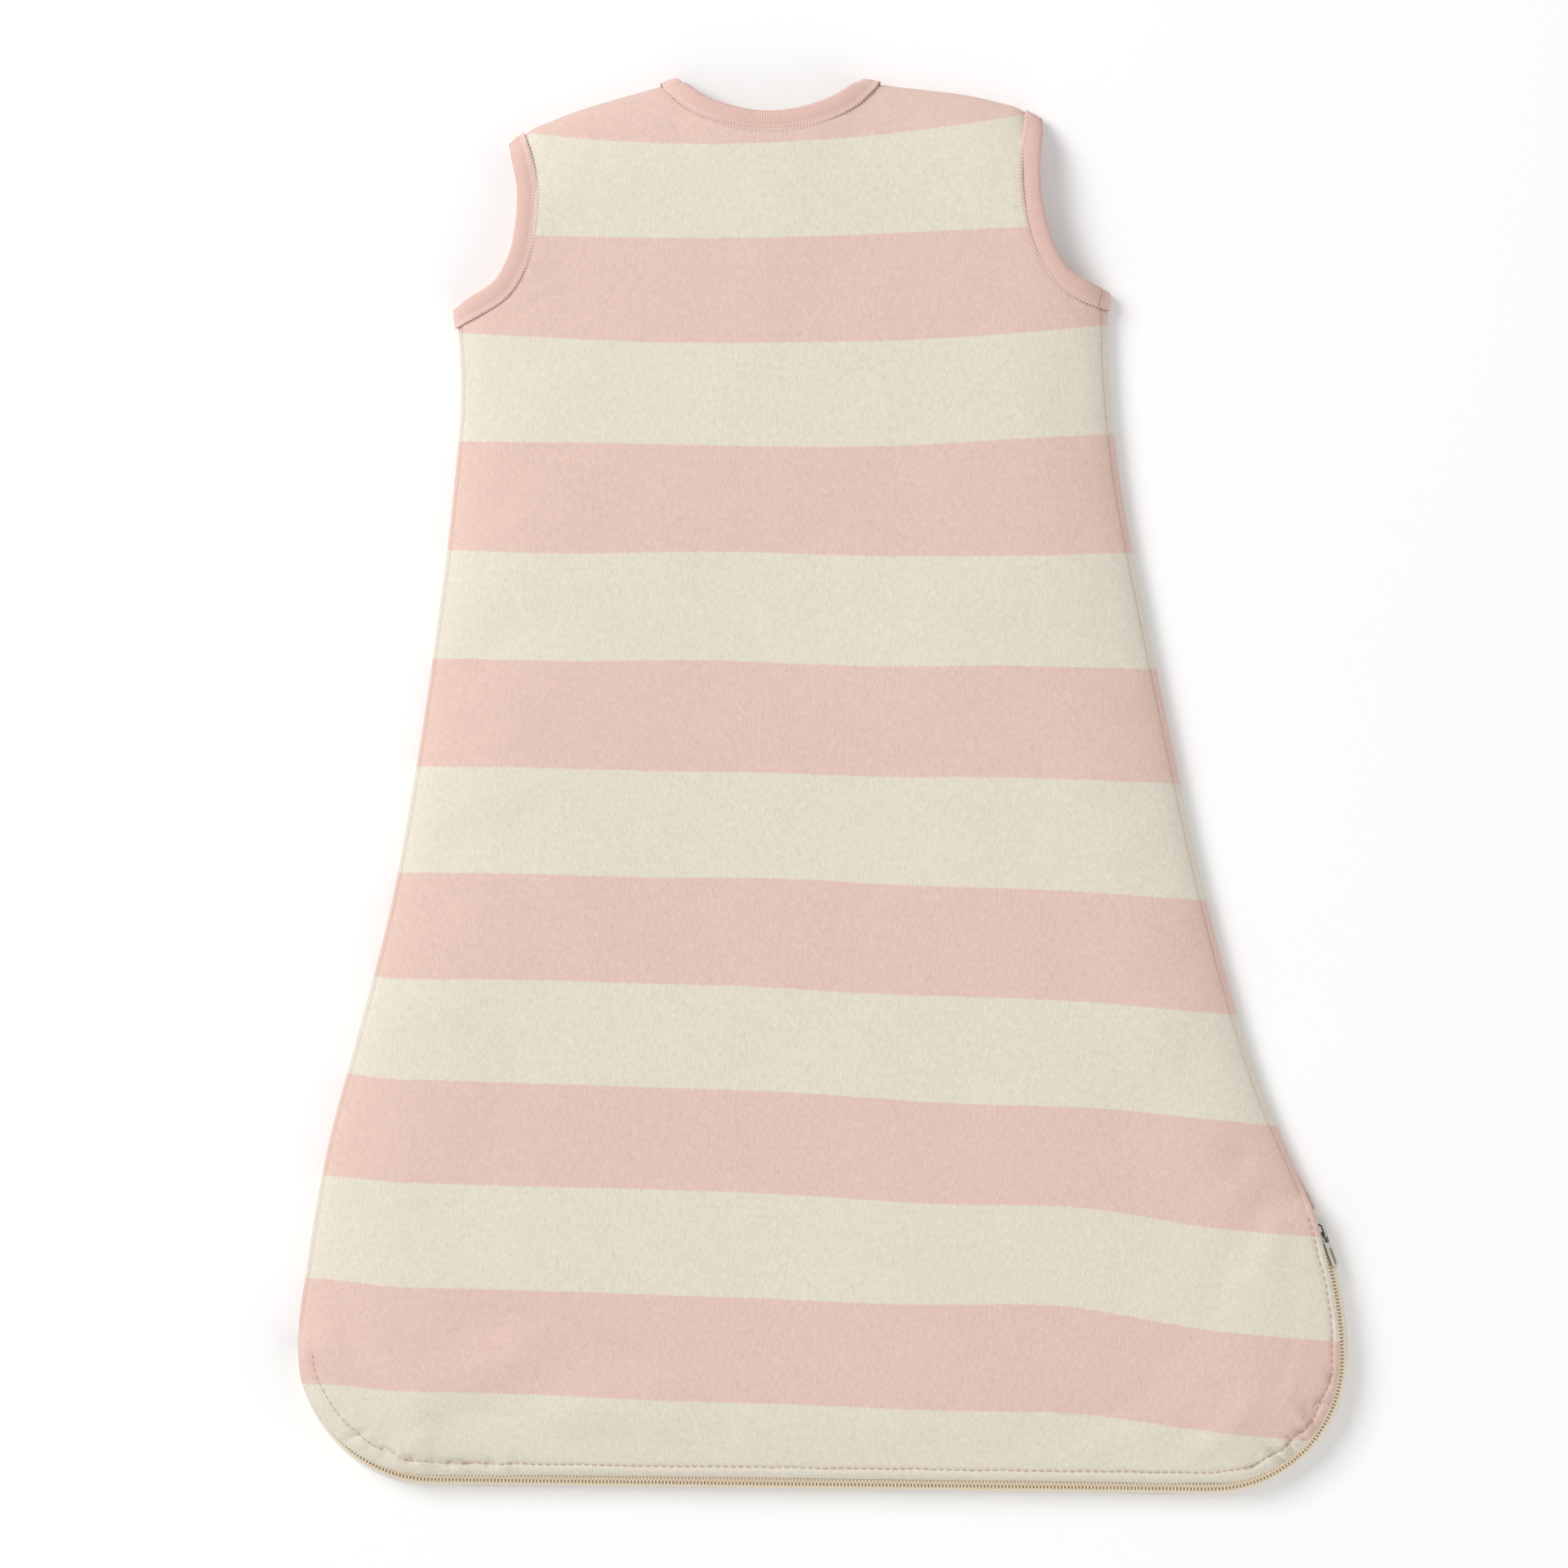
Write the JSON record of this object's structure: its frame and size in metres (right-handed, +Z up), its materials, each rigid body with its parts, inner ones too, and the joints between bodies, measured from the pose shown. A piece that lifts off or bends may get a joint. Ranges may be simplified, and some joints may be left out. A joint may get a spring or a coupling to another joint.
{
  "type": "baby sleeping bag",
  "caption": "Sleeveless lined baby sleeping bag, flaring to a round-cornered hem, with rib-bound neck and armholes and a zip from one side round the hem.",
  "frame": {"origin": "on the floor under the middle of the bag as it lies flat", "axes": "+Y towards the neck, +X to the side with the closed zip slider, +Z up out of the bag's back"},
  "size_m": [0.4498, 0.6055, 0.0204],
  "materials": {
    "shell_cloth": "matte",
    "wadding": "matte",
    "lining_cloth": "matte",
    "rib_cloth": "matte",
    "zip_tape": "matte",
    "zip_coil": "satin",
    "zip_metal": "polished",
    "label_cloth": "satin"
  },
  "bodies": {
    "bag": {"back_shell": "shell_cloth", "back_wadding": "wadding", "back_lining": "lining_cloth", "front_shell": "shell_cloth", "front_wadding": "wadding", "front_lining": "lining_cloth", "neck_binding": "rib_cloth", "right_armhole_binding": "rib_cloth", "left_armhole_binding": "rib_cloth", "zip_tape_back": "zip_tape", "zip_tape_front": "zip_tape", "zip_coil_back": "zip_coil", "zip_coil_front": "zip_coil", "zip_guard": "lining_cloth", "top_stop_back": "zip_metal", "top_stop_front": "zip_metal", "bottom_stop": "zip_metal", "neck_label": "label_cloth", "care_label": "label_cloth"},
    "slider": {"slider_body": "zip_metal"},
    "pull": {"pull_tab": "zip_metal"}
  },
  "joints": [
    {"name": "zip_slider_travel", "type": "hinge", "parent": "bag", "child": "slider", "pos_m": [0.0649, -0.2448, 0.0074], "axis": [0, 0, -1], "range_deg": [0, 18.5]},
    {"name": "zip_pull_swing", "type": "hinge", "parent": "slider", "child": "pull", "pos_m": [0.2142, -0.19053, 0.00946], "axis": [-0.6027, -0.2234, 0.766], "range_deg": [0, 160]}
  ]
}
